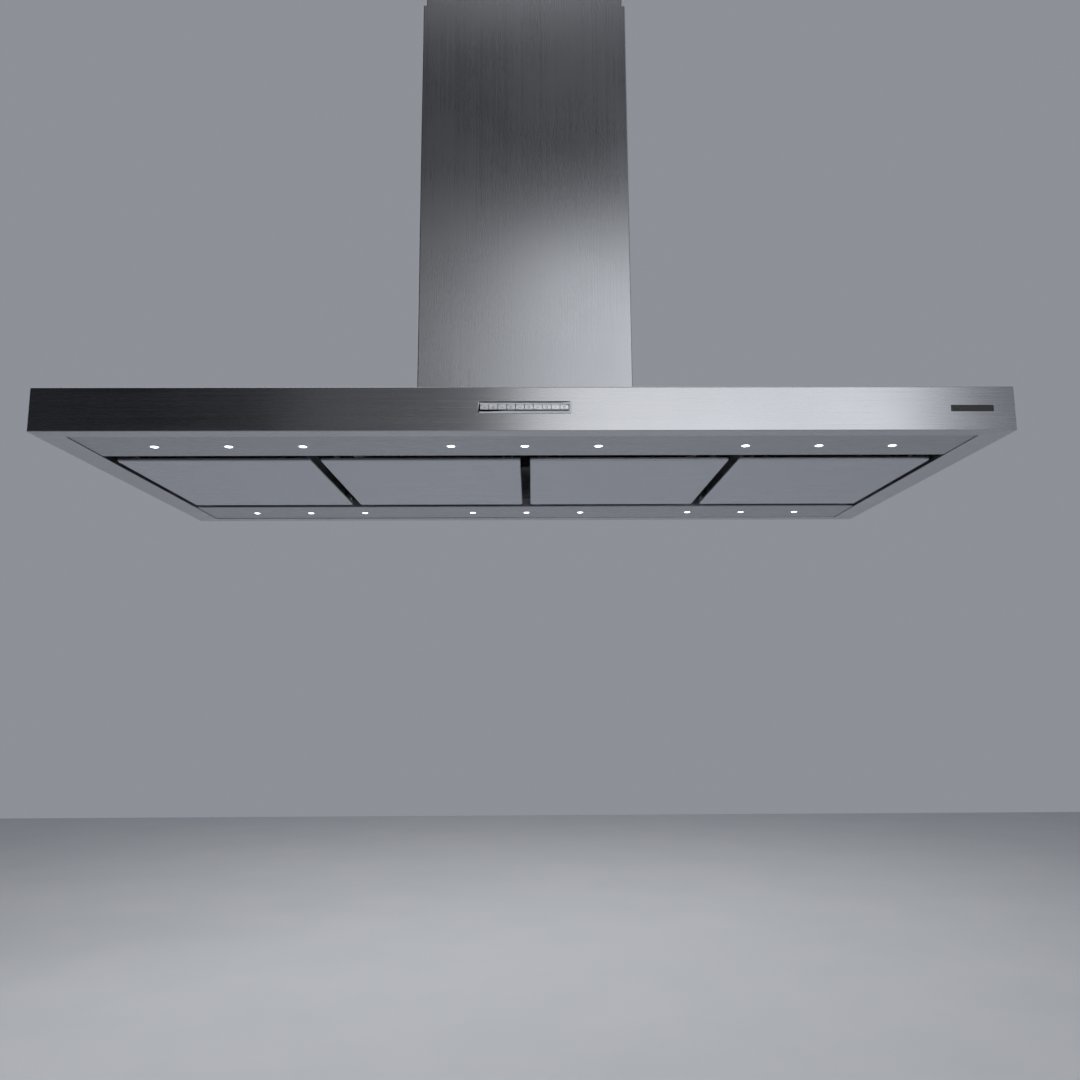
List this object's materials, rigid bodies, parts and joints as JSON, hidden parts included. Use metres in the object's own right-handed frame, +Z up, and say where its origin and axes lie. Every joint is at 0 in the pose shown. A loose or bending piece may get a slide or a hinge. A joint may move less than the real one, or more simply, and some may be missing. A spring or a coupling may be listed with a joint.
{
  "type": "island range hood",
  "caption": "Ceiling-hung island extractor hood: flat stainless canopy with light strips, drop-down suction panels over filters, telescopic chimney and ducted blower.",
  "frame": {"origin": "centre of the ceiling plate's top face, where the hood hangs", "axes": "+Z up, +X to the right of the control side, -Y towards the control side"},
  "size_m": [1.2, 0.6016, 1],
  "materials": {
    "brushed_stainless": "brushed stainless sheet, satin",
    "galvanised_steel": "zinc coated sheet steel, dull",
    "zinc_fasteners": "zinc plated steel",
    "led_lens": "frosted lens, lit from behind",
    "led_housing": "die cast, natural",
    "magnet_housing": "moulded housing round a magnet",
    "key_metal": "satin chrome",
    "circuit_board": "glass epoxy board",
    "dark_badge": "plain dark plate",
    "blower_plastic": "moulded polypropylene",
    "motor_casing": "black enamelled steel",
    "collar_plastic": "moulded ABS",
    "grey_box_plastic": "flame retardant ABS",
    "capacitor_can": "white polypropylene can",
    "loom_sheath": "black PVC sheath",
    "filter_aluminium": "expanded aluminium mesh and frame"
  },
  "bodies": {
    "ceiling_mount": {"ceiling_plate": "galvanised_steel", "upper_posts": "galvanised_steel", "upper_chimney": "brushed_stainless", "upper_chimney_screws": "zinc_fasteners", "ceiling_plate_screws": "zinc_fasteners", "post_bolts": "zinc_fasteners"},
    "hood": {"lower_posts": "galvanised_steel", "post_foot_bolts": "zinc_fasteners", "canopy_shell": "brushed_stainless", "front_light_strip": "brushed_stainless", "rear_light_strip": "brushed_stainless", "light_strip_screws": "zinc_fasteners", "led_lenses": "led_lens", "led_bodies": "led_housing", "hinge_brackets": "galvanised_steel", "latch_magnets": "magnet_housing", "control_bezel": "key_metal", "control_board": "circuit_board", "blank_badge": "dark_badge", "plenum_box": "galvanised_steel", "volute_front": "blower_plastic", "volute_rear": "blower_plastic", "inlet_rings": "blower_plastic", "motor": "motor_casing", "motor_bracket": "galvanised_steel", "outlet_collar": "collar_plastic", "damper_pin": "zinc_fasteners", "electronics_box": "grey_box_plastic", "electronics_lid": "grey_box_plastic", "cable_gland": "collar_plastic", "run_capacitor": "capacitor_can", "wiring_loom": "loom_sheath"},
    "lower_cover": {"lower_chimney": "brushed_stainless"},
    "blower_wheel": {"impeller": "blower_plastic", "motor_shaft": "zinc_fasteners"},
    "left_flap": {"damper_flap_left": "collar_plastic"},
    "right_flap": {"damper_flap_right": "collar_plastic"},
    "cassette_1": {"panel_1": "brushed_stainless", "filter_1": "filter_aluminium", "hinge_pins_1": "zinc_fasteners"},
    "cassette_2": {"panel_2": "brushed_stainless", "filter_2": "filter_aluminium", "hinge_pins_2": "zinc_fasteners"},
    "cassette_3": {"panel_3": "brushed_stainless", "filter_3": "filter_aluminium", "hinge_pins_3": "zinc_fasteners"},
    "cassette_4": {"panel_4": "brushed_stainless", "filter_4": "filter_aluminium", "hinge_pins_4": "zinc_fasteners"},
    "key_1_body": {"key_1": "key_metal"},
    "key_2_body": {"key_2": "key_metal"},
    "key_3_body": {"key_3": "key_metal"},
    "key_4_body": {"key_4": "key_metal"},
    "key_5_body": {"key_5": "key_metal"},
    "key_6_body": {"key_6": "key_metal"},
    "key_7_body": {"key_7": "key_metal"},
    "key_8_body": {"key_8": "key_metal"},
    "key_9_body": {"key_9": "key_metal"},
    "key_10_body": {"key_10": "key_metal"}
  },
  "joints": [
    {"name": "height_adjust", "type": "slide", "parent": "ceiling_mount", "child": "hood", "axis": [0, 0, 1], "range_m": [0, 0.15]},
    {"name": "lower_cover_lift", "type": "slide", "parent": "hood", "child": "lower_cover", "axis": [0, 0, 1], "range_m": [0, 0.15]},
    {"name": "wheel_spin", "type": "hinge", "parent": "hood", "child": "blower_wheel", "pos_m": [-0.028, 0, -0.828], "axis": [0, 1, 0], "continuous": true},
    {"name": "left_flap_swing", "type": "hinge", "parent": "hood", "child": "left_flap", "pos_m": [0, 0, -0.668], "axis": [0, 1, 0], "range_deg": [0, 80]},
    {"name": "right_flap_swing", "type": "hinge", "parent": "hood", "child": "right_flap", "pos_m": [0, 0, -0.668], "axis": [0, -1, 0], "range_deg": [0, 80]},
    {"name": "panel_1_hinge", "type": "hinge", "parent": "hood", "child": "cassette_1", "pos_m": [0, 0.156, -0.986], "axis": [1, 0, 0], "range_deg": [0, 80]},
    {"name": "panel_2_hinge", "type": "hinge", "parent": "hood", "child": "cassette_2", "pos_m": [0, 0.156, -0.986], "axis": [1, 0, 0], "range_deg": [0, 80]},
    {"name": "panel_3_hinge", "type": "hinge", "parent": "hood", "child": "cassette_3", "pos_m": [0, 0.156, -0.986], "axis": [1, 0, 0], "range_deg": [0, 80]},
    {"name": "panel_4_hinge", "type": "hinge", "parent": "hood", "child": "cassette_4", "pos_m": [0, 0.156, -0.986], "axis": [1, 0, 0], "range_deg": [0, 80]},
    {"name": "key_1_press", "type": "slide", "parent": "hood", "child": "key_1_body", "axis": [0, 1, 0], "range_m": [0, 0.001], "stiffness_N_per_m": 300},
    {"name": "key_2_press", "type": "slide", "parent": "hood", "child": "key_2_body", "axis": [0, 1, 0], "range_m": [0, 0.001], "stiffness_N_per_m": 300},
    {"name": "key_3_press", "type": "slide", "parent": "hood", "child": "key_3_body", "axis": [0, 1, 0], "range_m": [0, 0.001], "stiffness_N_per_m": 300},
    {"name": "key_4_press", "type": "slide", "parent": "hood", "child": "key_4_body", "axis": [0, 1, 0], "range_m": [0, 0.001], "stiffness_N_per_m": 300},
    {"name": "key_5_press", "type": "slide", "parent": "hood", "child": "key_5_body", "axis": [0, 1, 0], "range_m": [0, 0.001], "stiffness_N_per_m": 300},
    {"name": "key_6_press", "type": "slide", "parent": "hood", "child": "key_6_body", "axis": [0, 1, 0], "range_m": [0, 0.001], "stiffness_N_per_m": 300},
    {"name": "key_7_press", "type": "slide", "parent": "hood", "child": "key_7_body", "axis": [0, 1, 0], "range_m": [0, 0.001], "stiffness_N_per_m": 300},
    {"name": "key_8_press", "type": "slide", "parent": "hood", "child": "key_8_body", "axis": [0, 1, 0], "range_m": [0, 0.001], "stiffness_N_per_m": 300},
    {"name": "key_9_press", "type": "slide", "parent": "hood", "child": "key_9_body", "axis": [0, 1, 0], "range_m": [0, 0.001], "stiffness_N_per_m": 300},
    {"name": "key_10_press", "type": "slide", "parent": "hood", "child": "key_10_body", "axis": [0, 1, 0], "range_m": [0, 0.001], "stiffness_N_per_m": 300}
  ]
}
